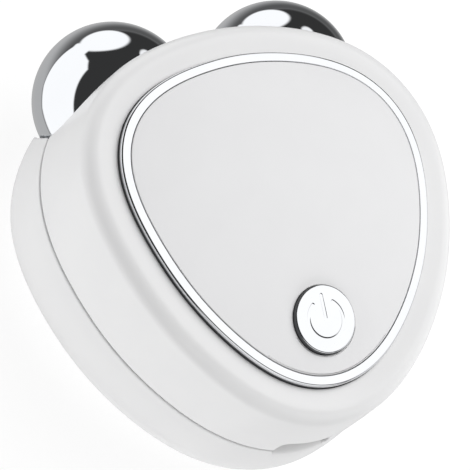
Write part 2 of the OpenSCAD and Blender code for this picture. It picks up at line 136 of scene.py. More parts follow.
def rearSkin(a, s):
    # side and back of the rear shell: s = 0 at the joint, then a wall whose offset is
    # wideO - bow x (share of its height) squared, then a quarter round to the flat
    b = body
    high = b["seam"] - b["backRound"]
    w = np.clip(s / b["wallShare"], 0, 1)
    q = np.clip((s - b["wallShare"]) / (1 - b["wallShare"]), 0, 1) * math.pi / 2
    h = high * (1 - w)
    onWall = s < b["wallShare"]
    o = np.where(onWall, b["wideO"] - b["bow"] * (h / high) ** 2, b["backO"] + b["backRound"] * np.cos(q))
    z = np.where(onWall, b["backRound"] + h, b["backRound"] * (1 - np.sin(q)))
    x, y = spot(a, o)
    return stack(x, y, b["seam"] + (z - b["seam"]) * keep(y))


def backPlate(a, o, k, z, up):
    # ring at offset o, scaled by k, at a height z that lifts with the back, then raised by up
    x, y = spot(a, o)
    x, y = k * x, k * y
    return stack(x, y, body["seam"] + (z - body["seam"]) * keep(y) + up)


def corner(p, q, r, size, n=4):
    # rounded corner at q between p and r: a parabola that starts and ends the given size from q
    a, b = q + size * unit(p - q), q + size * unit(r - q)
    return [(1 - t) ** 2 * a + 2 * t * (1 - t) * q + t * t * b for t in np.linspace(0, 1, n + 1)]


def newObject(name, data):
    # object with this data, linked into the scene
    obj = bpy.data.objects.new(name, data)
    bpy.context.scene.collection.objects.link(obj)
    return obj


def makeMesh(name, verts, quads, tris=None):
    # quads and triangles as index arrays; turned inside out if the volume comes out negative
    verts = np.asarray(verts, float).reshape(-1, 3)
    tris = np.zeros((0, 3), int) if tris is None else np.asarray(tris)
    allTris = np.concatenate([quads[:, [0, 1, 2]], quads[:, [0, 2, 3]], tris])
    p = verts[allTris]
    if np.einsum("ij,ij->i", p[:, 0], np.cross(p[:, 1], p[:, 2])).sum() < 0:
        quads, tris = quads[:, ::-1], tris[:, ::-1]
    mesh = bpy.data.meshes.new(name)
    mesh.vertices.add(len(verts))
    mesh.vertices.foreach_set("co", (verts * mm).astype(np.float32).ravel())
    mesh.loops.add(quads.size + tris.size)
    mesh.loops.foreach_set("vertex_index", np.concatenate([quads.ravel(), tris.ravel()]).astype(np.int32))
    starts = np.concatenate([np.arange(len(quads)) * 4, quads.size + np.arange(len(tris)) * 3])
    mesh.polygons.add(len(starts))
    mesh.polygons.foreach_set("loop_start", starts.astype(np.int32))
    mesh.polygons.foreach_set("use_smooth", np.ones(len(starts), bool))
    mesh.update(calc_edges=True)
    mesh.validate()
    return newObject(name, mesh)


def gridFaces(rows, cols, loop=False):
    # quads between neighbouring rows of points, each closed on itself; loop joins the last row to the first
    i = np.arange(rows if loop else rows - 1)[:, None]
    j = np.arange(cols)[None, :]
    k, n = (j + 1) % cols, (i + 1) % rows
    return np.stack([i * cols + j, n * cols + j, n * cols + k, i * cols + k], axis=-1).reshape(-1, 4)


def hoopMesh(name, rows):
    # closed tube: rows of points, each row a ring, the last row joined to the first
    g = np.stack(rows)
    return makeMesh(name, g, gridFaces(g.shape[0], g.shape[1], loop=True))


def skinArrays(rows, head, tail):
    # closed skin: rows of points, each row a ring, with a pole at each end
    g = np.stack(rows)
    r, c = g.shape[:2]
    j = np.arange(c)
    k = (j + 1) % c
    first = np.stack([np.full(c, r * c), j, k], axis=-1)
    last = np.stack([np.full(c, r * c + 1), (r - 1) * c + k, (r - 1) * c + j], axis=-1)
    return np.concatenate([g.reshape(-1, 3), [head], [tail]]), gridFaces(r, c), np.concatenate([first, last])


def skinMesh(name, rows, head, tail):
    # closed skin as a piece
    return makeMesh(name, *skinArrays(rows, head, tail))


def gather(parts):
    # several sets of points, quads and triangles as one
    start = np.cumsum([0] + [len(v) for v, q, t in parts[:-1]])
    return (np.concatenate([v for v, q, t in parts]),
            np.concatenate([q + k for (v, q, t), k in zip(parts, start)]),
            np.concatenate([t + k for (v, q, t), k in zip(parts, start)]))


def carve(obj, cutter):
    # takes the cutter out of the piece and keeps the result as its mesh
    mod = obj.modifiers.new("cut", "BOOLEAN")
    mod.object, mod.operation, mod.solver = cutter, "DIFFERENCE", "EXACT"
    bpy.context.view_layer.update()
    done = bpy.data.meshes.new_from_object(obj.evaluated_get(bpy.context.evaluated_depsgraph_get()))
    obj.modifiers.clear()
    old = obj.data
    obj.data = done
    bpy.data.meshes.remove(old)
    spare = cutter.data
    bpy.data.objects.remove(cutter)
    bpy.data.meshes.remove(spare)
    done.set_sharp_from_angle(angle=math.radians(35))
    return obj


# treatment balls, in millimetres; x is the right one's, and the left one's is its mirror image
ball = dict(r=10.0, wall=0.6, x=12.16, y=18.8873, splay=math.radians(40), axleR=1.5, axleGap=0.06)
# opening for the charge plug: half its width and height, and how far its middle is over the joint
port = dict(w=3.95, h=2.84, up=0.1)


def ballCentre(hand):
    # hand is 1 for the right ball and -1 for the left
    return np.array([hand * ball["x"], ball["y"], body["seam"]])


def ballDistance(p):
    # distance to the nearer ball's centre
    return np.minimum(np.linalg.norm(p - ballCentre(1), axis=-1), np.linalg.norm(p - ballCentre(-1), axis=-1))


def portFunction(p, grow):
    # |x / w| to the 6th + |z / h| to the 6th: below 1 inside the rounded opening, at the socket end only
    w, h = port["w"] + grow, port["h"] + grow
    f = np.abs(p[..., 0] / w) ** 6 + np.abs((p[..., 2] - body["seam"] - port["up"]) / h) ** 6
    return np.where(p[..., 1] < 0, f, 9.0)


def insideFront(p, r, z, grow):
    # in a ball's socket, under the height z, or in the opening for the plug
    return (ballDistance(p) < r) | (p[..., 2] < z) | (portFunction(p, grow) < 1)


def insideRear(p, r, z):
    # in a ball's socket, or over the height z
    return (ballDistance(p) < r) | (p[..., 2] > z)


def trimLine(skin, inside, a, outside, within, *how):
    # where each column of the skin meets an opening or the joint, found by halving
    lo, hi = np.full(a.shape, float(outside)), np.full(a.shape, float(within))
    for _ in range(34):
        mid = (lo + hi) / 2
        hit = inside(skin(a, mid), *how)
        lo, hi = np.where(hit, lo, mid), np.where(hit, mid, hi)
    return lo


def shellColumns(skin, inside, outside, within, *how):
    # angles of the columns: partly even round the outline, partly even along the trimmed edge
    a = np.linspace(0, 2 * math.pi, 14401)
    p = skin(a, trimLine(skin, inside, a, outside, within, *how))
    run = np.concatenate([[0], np.cumsum(np.linalg.norm(np.diff(p, axis=0), axis=1))])
    mix = 0.42 * run / run[-1] + 0.58 * a / a[-1]
    return np.interp(np.arange(body["columns"]) / body["columns"], mix, a)


def edgeFrame(skin, a, t, down):
    # outward normal of the skin at its trimmed edge, and the direction in the skin out over the opening
    h = 1e-4
    p = skin(a, t)
    n = unit(np.cross(skin(a + h, t) - p, skin(a, t + h * down) - p))
    out = stack(p[:, 0], p[:, 1], 0 * p[:, 2])
    n = np.where((np.einsum("ij,ij->i", n, out) < 0)[:, None], -n, n)
    z = p[:, 2]
    go = np.tile([0.0, 0.0, -1.0 * down], (len(a), 1))
    kind = np.zeros(len(a), int)
    for hand in (1, -1):
        c = ballCentre(hand)
        d = np.linalg.norm(p - c, axis=1)
        near = np.abs(d - body["socketR"] - body["edge"]) < 2e-3
        go = np.where(near[:, None], unit(c - p), go)
        kind = np.where(near, 1, kind)
    return p, n, go, kind


def finishEdge(p, n, go, kind, size):
    # the edge turned over with a small round, then the thickness of the wall behind it
    go = unit(go - np.einsum("ij,ij->i", go, n)[:, None] * n)
    size = np.where(kind > 0, body["edge"], size)[:, None]
    k = p + size * go
    start, end = k - size * go, k - size * n
    rows = [(1 - t) ** 2 * start + 2 * t * (1 - t) * k + t * t * end for t in np.linspace(0, 1, 7)]

    def deeper(s):
        # the edge s mm behind the skin; round a ball it is drawn on to the sphere of its socket
        q = k - s * n
        for hand in (1, -1):
            c = ballCentre(hand)
            d = np.linalg.norm(q - c, axis=1)
            mine = (kind > 0) & (np.sign(p[:, 0]) == hand)
            q = np.where(mine[:, None], c + (q - c) * (body["socketR"] / d)[:, None], q)
        return q
    return rows, deeper


# front shell, in millimetres: half width of the ring's groove, depths under the dome of the face recess, the
# groove's floor and the ceiling, and the lip of the joint
front = dict(groove=0.68, recess=1.35, grooveDeep=1.52, grooveTop=1.1, lipRound=0.1, ceiling=2.65,
             ceilingO=-0.7, lipBehind=1.1, lipHigh=1.1, lipThick=0.7, portSlack=0.01)


def makeFrontShell():
    # one closed skin: face recess, groove, shoulder, fillet as an arc of its radius, leaning wall, turned edge,
    # lip of the joint, then the inside back up to the ceiling
    b, d = body, front
    z1 = b["seam"] + b["gap"] / 2 + b["seamEdge"]
    how = (b["socketR"] + b["edge"], z1, b["edge"])
    a = shellColumns(frontSkin, insideFront, 0, 1, *how)
    t = trimLine(frontSkin, insideFront, a, 0, 1, *how)
    p, n, go, kind = edgeFrame(frontSkin, a, t, 1)
    atPort = (portFunction(p, b["edge"] + d["portSlack"]) < 1) & (kind == 0)
    w, h = port["w"] + b["edge"], port["h"] + b["edge"]
    steepest = stack(np.sign(p[:, 0]) * np.abs(p[:, 0] / w) ** 5 / w, 0 * p[:, 0],
                     np.abs((p[:, 2] - b["seam"] - port["up"]) / h) ** 5 / h)
    go = np.where(atPort[:, None], -unit(steepest + 1e-9), go)
    edge, deeper = finishEdge(p, n, go, np.where(atPort, 2, kind), b["seamEdge"])
    g = d["groove"]
    rows = [lid(a, -g, k, d["recess"]) for k in (0.1, 0.25, 0.4, 0.55, 0.7, 0.85, 0.96, 1)]
    rows += [lid(a, -g, 1, d["grooveDeep"]), lid(a, g, 1, d["grooveDeep"]), lid(a, g, 1, d["grooveTop"])]
    rows += corner(lid(a, g, 1, 1.3), brow(a, g, 0), brow(a, b["ledgeO"], 0), d["lipRound"])
    rows += [brow(a, o, 0) for o in (0.95, 1.3, 1.7, 2.1, 2.5, 2.8)]
    rows += [brow(a, b["wallO"] - b["fillet"] * (1 - math.sin(q)), b["fillet"] * (1 - math.cos(q)))
             for q in np.radians(np.linspace(0, 84, 13))]
    rows += [frontSkin(a, t * share) for share in np.linspace(0.02, 0.985, 30)]
    rows += edge
    plain = (kind == 0) & ~atPort
    face = deeper(d["lipBehind"])
    tongue = face - [0, 0, d["lipHigh"]]
    foot = face - d["lipThick"] * n - [0, 0, d["lipHigh"]]
    pick = lambda x, y: np.where(plain[:, None], x, y)
    rows += [deeper(0.6), face, pick(tongue, deeper(1.4)), pick(foot, deeper(b["wall"]))]
    base = rows[-1]
    inner = brow(a, b["wallO"] - b["wall"] - 0.6, b["fillet"] + 0.3)
    rows += [base * (1 - share) + inner * share for share in (0.15, 0.4, 0.65, 0.88)]
    rows += [inner, brow(a, 1, b["fillet"] - 0.1)]
    rows += [lid(a, d["ceilingO"], k, d["ceiling"]) for k in (1, 0.8, 0.6, 0.4, 0.2)]
    head, tail = [0, 0, b["thick"] - d["recess"]], [0, 0, b["thick"] - d["ceiling"]]
    return carve(skinMesh("front_shell_skin", rows, head, tail), buttonCutter())


# power button, in millimetres: place, radius, height over the face, mark, flange and stem, and its bore
button = dict(y=15.7197, r=4.25, h=0.5, gap=0.08, crown=0.05, round=0.25, markR=2.45, markWide=0.5,
              markCut=0.03, markGap=0.62, barLow=0.1, barTop=3.0, flangeR=5.15, flangeTop=-3.1,
              flangeLow=-3.8, stemR=1.8, stemLow=-4.45, tipR=0.7, tipTop=-4.65, tipLow=-4.95, boreTop=-1.25,
              boreLow=-5.0)


def onButton(x, y, z):
    # the button's own frame, turned so that its z stands square to the crowned face
    tilt = math.atan(button["y"] / body["crownY"])
    c, s = math.cos(tilt), math.sin(tilt)
    z0 = body["thick"] - button["y"] ** 2 / (2 * body["crownY"])
    return stack(x, y * c - z * s - button["y"], y * s + z * c + z0)


def buttonCutter():
    # upright cylinder for the button's bore
    a = evenAngles(96)
    r, low, top = button["r"] + button["gap"], button["boreLow"], button["boreTop"]
    rows = [onButton(r * np.sin(a), r * np.cos(a), z + 0 * a) for z in (low, top)]
    return skinMesh("cutter", rows, onButton(0, 0, low), onButton(0, 0, top))


# slope under the socket's mouth, in millimetres, and the half angle of outline that it is looked for in
leadIn = dict(drop=0.85, deep=1.1, half=3.6, ease=0.55, below=2.4, reach=0.45)


def slopeMouth(p):
    # the joint edge dips by drop x (1 - depth / deep) under the socket, and not at all beside the mouth
    k = leadIn
    a = math.pi + np.linspace(-k["reach"], k["reach"], 91)
    x, y = spot(a, body["seamO"])
    depth = p[:, 1] - np.interp(p[:, 0], x[::-1], y[::-1])
    across = smooth((k["half"] + k["ease"] - np.abs(p[:, 0])) / k["ease"]) * (p[:, 1] < 0)
    inwards = np.clip(1 - depth / k["deep"], 0, 1)
    upwards = smooth((p[:, 2] - body["seam"] + k["below"]) / k["below"])
    return p - stack(0, 0, k["drop"] * across * inwards * upwards)


# rear shell, in millimetres: the step that takes the front shell's lip
rear = dict(stepBehind=1.02, stepHigh=1.05, stepThick=0.88, baseDown=3.2)


def makeRearShell():
    # one closed skin: flat back, quarter round, bowed wall, turned edge, step of the joint, then the inside
    # down to the floor
    b, d = body, rear
    z1 = b["seam"] - b["gap"] / 2 - b["seamEdge"]
    how = (b["socketR"] + b["edge"], z1)
    a = shellColumns(rearSkin, insideRear, 1, 0, *how)
    s = trimLine(rearSkin, insideRear, a, 1, 0, *how)
    p, n, go, kind = edgeFrame(rearSkin, a, s, -1)
    edge, deeper = finishEdge(p, n, go, kind, b["seamEdge"])
    rows = [backPlate(a, b["backO"], k, 0, 0) for k in (0.15, 0.35, 0.55, 0.75, 0.9)]
    rows += [rearSkin(a, s + (1 - s) * share) for share in np.linspace(1, 0.012, 44)]
    rows += edge
    plain = kind == 0
    pick = lambda x, y: np.where(plain[:, None], x, y)
    face = deeper(d["stepBehind"])
    step = face - [0, 0, d["stepHigh"]]
    back = step - d["stepThick"] * n
    rows += [deeper(0.6), face, pick(step, deeper(1.3)), pick(back, deeper(1.6))]
    base = pick(level(a, b["wallO"] + 0.6 - b["wall"] - 0.1, b["seam"] - d["baseDown"]), deeper(b["wall"]))
    inR = b["backRound"] - b["wall"]
    quarter = lambda q: backPlate(a, b["backO"] + inR * math.cos(q), 1, b["backRound"] * (1 - math.sin(q)),
                                  b["wall"] * math.sin(q))
    rows += [base, base * 0.5 + quarter(0.7) * 0.5] + [quarter(q) for q in (0.7, 0.9, 1.1, 1.3, 1.5)]
    rows += [backPlate(a, b["backO"] - 0.3, 1, 0, b["wall"])]
    rows += [backPlate(a, b["backO"], k, 0, b["wall"]) for k in (0.75, 0.5, 0.25)]
    shell = skinMesh("rear_shell_skin", [slopeMouth(r) for r in rows], [0, 0, 0], [0, 0, b["wall"]])
    return carve(shell, counterboreCutter())


# case screws: place of each, seat height, counterbore, boss, thread and cross recess, in millimetres
screws = dict(spots=((15.0045, 3.0091), (-15.0045, 3.0091), (11.9954, -13.5102), (-11.9954, -13.5102)),
              seat=2.6, bore=2.1, boreTop=2.3, boreLow=-0.8, mouth=0.28, boss=2.6, bossLow=1.7, hole=1.15,
              bossTop=14.1, head=1.86, headHigh=1.2, thread=1.0, root=0.78, pitch=0.6, length=17.8,
              crossHalf=0.24, crossDeep=0.62, crossReach=1.16, crossSlope=0.07)


def turned(x, y, profile, a):
    # rings of points round an upright axis, one for each radius and height of the profile
    return [stack(x + r * np.sin(a), y + r * np.cos(a), z + 0 * a) for r, z in profile]


def counterboreCutter():
    # a turned cutter for each screw: a cylinder of the bore's radius with a flared mouth
    w = screws
    a = evenAngles(64)
    r, m, low, top = w["bore"], w["mouth"], w["boreLow"], w["boreTop"]
    profile = [(r + m + 0.02, low), (r + m + 0.02, -0.02), (r + m * 0.45, m * 0.3), (r, m), (r, top)]
    return makeMesh("cutter", *gather([skinArrays(turned(x, y, profile, a), [x, y, low], [x, y, top])
                                       for x, y in w["spots"]]))


def makeBosses():
    # posts behind the counterbores, which carry the screw seats
    w = screws
    a = evenAngles(48)
    profile = [(w["bore"], w["bossLow"]), (w["boss"], w["bossLow"]), (w["boss"], 8.0),
               (w["boss"], w["bossTop"] - 0.15), (w["boss"] - 0.15, w["bossTop"]), (w["hole"], w["bossTop"]),
               (w["hole"], w["seat"]), (w["bore"], w["seat"])]
    parts = []
    for x, y in w["spots"]:
        g = np.stack(turned(x, y, profile, a))
        parts.append((g.reshape(-1, 3), gridFaces(g.shape[0], g.shape[1], loop=True), np.zeros((0, 3), int)))
    return makeMesh("rear_shell_bosses", *gather(parts))


def crossDepth(x, y):
    # cross recess with sloping walls: full depth along both arms, nothing outside them
    w = screws
    arm = np.minimum(np.abs(x), np.abs(y))
    reach = np.maximum(np.abs(x), np.abs(y))
    ends = (w["crossReach"] - reach) / (0.9 * w["crossReach"])
    slope = np.minimum((w["crossHalf"] - arm) / w["crossSlope"], ends)
    return w["crossDeep"] * np.clip(slope, 0, 1)


def makeCaseScrews():
    # pan heads down in their bores; the thread is a ridge that winds up the shank by its pitch in each turn
    w = screws
    a = evenAngles(96)
    seat, head, thread, root = w["seat"], w["head"], w["thread"], w["root"]
    low, top = seat - w["headHigh"], seat + w["length"]
    parts = []
    for k, (x, y) in enumerate(w["spots"]):
        turn = 0.7 + 1.9 * k   # each was driven to its own angle
        c, s = math.cos(turn), math.sin(turn)
        rows = []
        for r in np.linspace(0.04, 1.3, 32):
            u, v = r * np.sin(a), r * np.cos(a)
            depth = crossDepth(u * c + v * s, v * c - u * s)
            rows.append(stack(x + u, y + v, low + 0.07 * (r / head) ** 2 + depth))
        profile = [(1.45, low + 0.05), (head - 0.3, low + 0.12), (head - 0.1, low + 0.26), (head, low + 0.5),
                   (head, seat - 0.06), (head - 0.06, seat), (thread + 0.05, seat), (root, seat + 0.1)]
        rows += turned(x, y, profile, a)
        for z in np.arange(seat + 0.2, seat + w["length"] - 1.2, w["pitch"] / 6):
            wind = ((z / w["pitch"] - a / (2 * math.pi)) % 1.0)
            ridge = np.clip(1 - np.abs(wind - 0.5) / 0.3, 0, 1) * np.clip((z - seat - 2.2) / 1.2, 0, 1)
            r = root + (thread - root) * ridge
            rows.append(stack(x + r * np.sin(a), y + r * np.cos(a), z + 0 * a))
        rows += turned(x, y, [(root, top - 1.1), (0.35, top - 0.25)], a)
        parts.append(skinArrays(rows, [x, y, low + w["crossDeep"]], [x, y, top - 0.15]))
    return makeMesh("case_screws_panhead", *gather(parts))


frontShell = makeFrontShell()
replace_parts(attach(frontShell, "housing"), "front_shell")
rearShell = makeRearShell()
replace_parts(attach(rearShell, "housing"), "rear_shell")
bosses = makeBosses()
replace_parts(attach(bosses, "housing"), "rear_shell")
caseScrews = makeCaseScrews()
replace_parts(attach(caseScrews, "housing"), "case_screws")
print("shells made:", len(frontShell.data.polygons), len(rearShell.data.polygons))


# trim ring, in millimetres: width, height, rounds, how far down its outer wall stays chrome above the dark
# painted shade, and the slope of its top
ring = dict(w=1.24, h=1.5, inEdge=0.09, outEdge=0.26, plated=0.4, cant=0.065)


def makeRing():
    # plated hoop: a top canted a little inwards between two small rounds, then upright walls down to the seat;
    # the outer wall is chrome only down to a shallow depth, and under that a dark material stands for painted
    # shade at its foot
    a = evenAngles(960)
    h = ring["w"] / 2
    top = lambda o: lid(a, o, 1, -ring["cant"] * o)
    rows = [lid(a, -h, 1, ring["h"]), lid(a, -h, 1, 0.7), lid(a, -h, 1, 0.3)]
    rows += corner(lid(a, -h, 1, 0.3), top(-h), top(-0.3), ring["inEdge"], 6)
    rows += [top(o) for o in np.linspace(-0.42, 0.3, 9)]
    rows += corner(top(0.3), top(h), lid(a, h, 1, 0.6), ring["outEdge"], 10)
    rows += [lid(a, h, 1, ring["plated"])]
    bright = len(rows) - 1
    rows += [lid(a, h, 1, d) for d in (0.6, 0.9, ring["h"])]
    obj = hoopMesh("trim_ring_plated", rows)
    finish = np.zeros(len(obj.data.polygons), np.int32)
    # faces below the bright row take the dark second material: painted shade on the lower outer wall
    finish[bright * len(a):] = 1
    obj.data.polygons.foreach_set("material_index", finish)
    return obj


# face plate, in millimetres: offset of its rim, thickness, and the rounds at the button and at the rim
plate = dict(rimO=-0.71, thick=1.2, boreRound=0.1, rimRound=0.13)


def makePanel():
    # rings between the button's bore and the inner edge of the trim ring, seen from the button's centre
    d = plate
    a = evenAngles(720)
    boreR = button["r"] + button["gap"]
    bore = onButton(boreR * np.sin(a), boreR * np.cos(a), 0 * a)[:, :2]
    x, y = spot(evenAngles(3600), d["rimO"])
    turn = np.arctan2(x, y + button["y"])
    order = np.argsort(turn)
    want = np.arctan2(bore[:, 0], bore[:, 1] + button["y"])
    rim = np.stack([np.interp(want, turn[order], x[order], period=2 * math.pi),
                    np.interp(want, turn[order], y[order], period=2 * math.pi)], axis=-1)
    out = unit(rim - bore)
    under = lambda q, depth: stack(q[:, 0], q[:, 1], dome(q[:, 0], q[:, 1]) - depth)
    between = lambda v, depth: under(bore * (1 - v) + rim * v, depth)
    rows = [under(bore, d["thick"]), under(bore, 0.5)]
    rows += corner(under(bore, 0.5), under(bore, 0), under(bore + out, 0), d["boreRound"])
    rows += [under(bore + 0.2 * out, 0)] + [between(v, 0) for v in np.linspace(0.04, 0.96, 40)]
    rows += [under(rim - 0.2 * out, 0)]
    rows += corner(under(rim - out, 0), under(rim, 0), under(rim, 1), d["rimRound"])
    rows += [under(rim, 0.6), under(rim, d["thick"])]
    rows += [between(v, d["thick"]) for v in (0.9, 0.7, 0.5, 0.3, 0.1)]
    return hoopMesh("face_panel_sheet", rows)


def markDepth(x, y):
    # engraved power mark, a broken ring and a bar: 1 - (distance from its line / half its width) squared
    b = button
    r, half = np.hypot(x, y), b["markWide"] / 2
    turn = np.abs(np.arctan2(x, y))
    over = np.maximum(b["markGap"] - turn, 0) * r
    pastBar = np.maximum(np.maximum(y - b["barTop"], b["barLow"] - y), 0)
    away = np.minimum(np.hypot(r - b["markR"], over), np.hypot(x, pastBar))
    return np.clip(1 - (away / half) ** 2, 0, 1)


def makeButton():
    # turned cap: a top that crowns by crown x (1 - (r / radius) squared) less the mark, a round, then the body
    # down over the flange and the stem
    b = button
    a = evenAngles(640)
    rs = np.concatenate([np.linspace(0.04, 2.2, 44), np.linspace(2.23, 2.67, 23), np.linspace(2.71, 3.97, 26)])
    rows = []
    for r in rs:
        x, y = r * np.sin(a), r * np.cos(a)
        crown = b["crown"] * (1 - (r / b["r"]) ** 2)
        rows.append(onButton(x, y, b["h"] + crown - b["markCut"] * markDepth(x, y)))
    ringAt = lambda r, z: onButton(r * np.sin(a), r * np.cos(a), z + 0 * a)
    rows += corner(ringAt(3.7, b["h"] + 0.008), ringAt(b["r"], b["h"]), ringAt(b["r"], 0), b["round"], 10)
    rows += [ringAt(b["r"], z) for z in (0.1, -0.1, -0.5, -1.2, b["flangeTop"])]
    rows += [ringAt(b["flangeR"], b["flangeTop"]), ringAt(b["flangeR"], b["flangeLow"]),
             ringAt(b["stemR"], b["flangeLow"]), ringAt(b["stemR"], b["stemLow"]),
             ringAt(b["tipR"], b["tipTop"]), ringAt(b["tipR"], b["tipLow"])]
    obj = skinMesh("power_button_cap", rows, onButton(0, 0, b["h"] + b["crown"] - b["markCut"]),
                   onButton(0, 0, b["tipLow"]))
    finish = np.zeros(len(obj.data.polygons), np.int32)   # 0 chrome top, 1 dark grey from partway round the edge downwards: painted shade on the rounded edge and the side
    bright, cols = len(rs) + 4, len(a)
    finish[bright * cols:(len(rows) - 1) * cols] = 1
    finish[len(rows) * cols:] = 1
    obj.data.polygons.foreach_set("material_index", finish)
    return obj


trimRing = makeRing()
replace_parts(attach(trimRing, "housing"), "trim_ring")
panel = makePanel()
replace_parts(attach(panel, "housing"), "face_panel")
cap = makeButton()
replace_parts(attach(cap, "button"), "power_button")
print("face made")


# charge socket, in millimetres: outside of its drawn shell, wall, depth, height of its middle, how square its
# corners are, flare of its mouth, and the contacts on its tongue
socket = dict(w=7.4, h=2.5, wall=0.3, deep=4.4, z=16.25, corner=7.0, flare=0.14, contacts=4, contactW=0.34,
              contactPitch=0.86)


def roundRect(w, h, y, z, a):
    # rounded rectangle as a superellipse in an upright plane at depth y
    k = 2 / socket["corner"]
    c, s = np.cos(a), np.sin(a)
    return stack(w / 2 * np.sign(c) * np.abs(c) ** k, y + 0 * a, z + h / 2 * np.sign(s) * np.abs(s) ** k)


def makeSocketShell():
    # drawn steel pocket: outside from its closed end to a rolled mouth, then inside back to its floor
    k = socket
    lo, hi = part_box("charge_socket_shell")
    y0, y1, z = lo[1] / mm, hi[1] / mm, k["z"]
    a = evenAngles(160)
    w, h, iw, ih = k["w"], k["h"], k["w"] - 2 * k["wall"], k["h"] - 2 * k["wall"]
    steps = [(w - 0.5, h - 0.5, y1), (w - 0.12, h - 0.12, y1 - 0.08), (w, h, y1 - 0.3), (w, h, y0 + 2.5),
             (w, h, y0 + 0.16), (w - 0.06, h - 0.06, y0 + 0.04), (w - 0.2, h - 0.2, y0),
             (iw + 2 * k["flare"], ih + 2 * k["flare"], y0 + 0.02), (iw + 0.1, ih + 0.1, y0 + 0.14),
             (iw, ih, y0 + 0.34), (iw, ih, y0 + 2.2), (iw, ih, y0 + k["deep"] - 0.1),
             (iw - 0.2, ih - 0.2, y0 + k["deep"])]
    rows = [roundRect(u, v, y, z, a) for u, v, y in steps]
    return skinMesh("charge_socket_pocket", rows, [0, y1, z], [0, y0 + k["deep"], z])


def makeTongue():
    # moulded blade with a chamfered nose
    lo, hi = (v / mm for v in np.array(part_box("charge_socket_tongue")))
    a = evenAngles(120)
    w, h, z = hi[0] - lo[0], hi[2] - lo[2], (lo[2] + hi[2]) / 2
    steps = [(w - 0.34, h - 0.34, lo[1]), (w - 0.1, h - 0.12, lo[1] + 0.12), (w, h, lo[1] + 0.34),
             (w, h, lo[1] + 1.6), (w, h, hi[1])]
    rows = [roundRect(u, v, y, z, a) for u, v, y in steps]
    return skinMesh("charge_socket_blade", rows, [0, lo[1], z], [0, hi[1], z])


def makeContacts():
    # formed strips that stand a few hundredths proud of both faces of the tongue
    k = socket
    lo, hi = (v / mm for v in np.array(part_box("charge_socket_tongue")))
    a = evenAngles(32)
    wide, front0, back0 = k["contactW"], lo[1], hi[1]
    parts = []
    for side in (-1, 1):
        for i in range(k["contacts"]):
            x = (i - (k["contacts"] - 1) / 2) * k["contactPitch"]
            z = (hi[2] - 0.01) if side > 0 else (lo[2] + 0.01)
            steps = [(0.2, 0.02, front0 + 0.42), (wide, 0.07, front0 + 0.56), (wide, 0.07, back0 - 0.15),
                     (wide, 0.05, back0 - 0.05)]
            rows = [roundRect(u, v, y, z, a) + [x, 0, 0] for u, v, y in steps]
            parts.append(skinArrays(rows, [x, steps[0][2], z], [x, steps[-1][2], z]))
    return makeMesh("charge_socket_contacts", *gather(parts))


socketShell, tongue, contacts = makeSocketShell(), makeTongue(), makeContacts()
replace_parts(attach(socketShell, "housing"), "charge_socket_shell")
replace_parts(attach(tongue, "housing"), "charge_socket_tongue")
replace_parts(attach(contacts, "housing"), "charge_socket_tongue")
print("charge socket made")


def makeBall(hand):
    # hollow sphere round its axle: rings of latitude from the far pole to the axle's hole, then back inside
    inner = ball["r"] - ball["wall"]
    holeR = ball["axleR"] + ball["axleGap"]
    axis = np.array([hand * math.sin(ball["splay"]), math.cos(ball["splay"]), 0])
    side = np.array([axis[1], -axis[0], 0.0])
    up = np.array([0, 0, 1.0])
    a = evenAngles(256)
    c = ballCentre(hand)

    def ringAt(r, q):
        # circle of latitude at an angle q from the hole's pole, on a sphere of radius r
        return (c + (r * np.sin(q) * (np.cos(a)[:, None] * side + np.sin(a)[:, None] * up)
                     - r * np.cos(q) * axis))
    outside = np.linspace(math.asin(holeR / ball["r"]), math.pi - 0.02, 128)
    rows = [ringAt(ball["r"], q) for q in outside][::-1]
    rows += [ringAt(inner, q) for q in np.linspace(math.asin(holeR / inner), math.pi - 0.05, 48)]
    return skinMesh("treatment_ball_" + ("right" if hand > 0 else "left"), rows, c + ball["r"] * axis,
                    c + inner * axis)


balls = {}
for hand, sideName in ((-1, "left"), (1, "right")):
    piece = makeBall(hand)
    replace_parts(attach(piece, "ball_" + sideName), "ball_" + sideName)
    balls[sideName] = piece
print("balls made")


# materials
def hexColour(text):
    # sRGB hex to linear
    c = [int(text[i:i + 2], 16) / 255 for i in (1, 3, 5)]
    return tuple([v / 12.92 if v <= 0.04045 else ((v + 0.055) / 1.055) ** 2.4 for v in c] + [1.0])


def addNode(mat, kind, settings=None, **links):
    # one node: settings are its properties, links are its inputs, either values or other nodes' outputs
    node = mat.node_tree.nodes.new(kind)
    for key, value in (settings or {}).items():
        setattr(node, key, value)
    for key, value in links.items():
        key = key.replace("_", " ")
        entry = node.inputs[int(key[2:])] if key.startswith("in") and key[2:].isdigit() else node.inputs[key]
        if isinstance(value, bpy.types.NodeSocket):
            mat.node_tree.links.new(value, entry)
        else:
            entry.default_value = value
    return node


def newMaterial(name):
    # material with an empty node tree
    mat = bpy.data.materials.new(name)
    mat.use_nodes = True
    mat.node_tree.nodes.clear()
    return mat


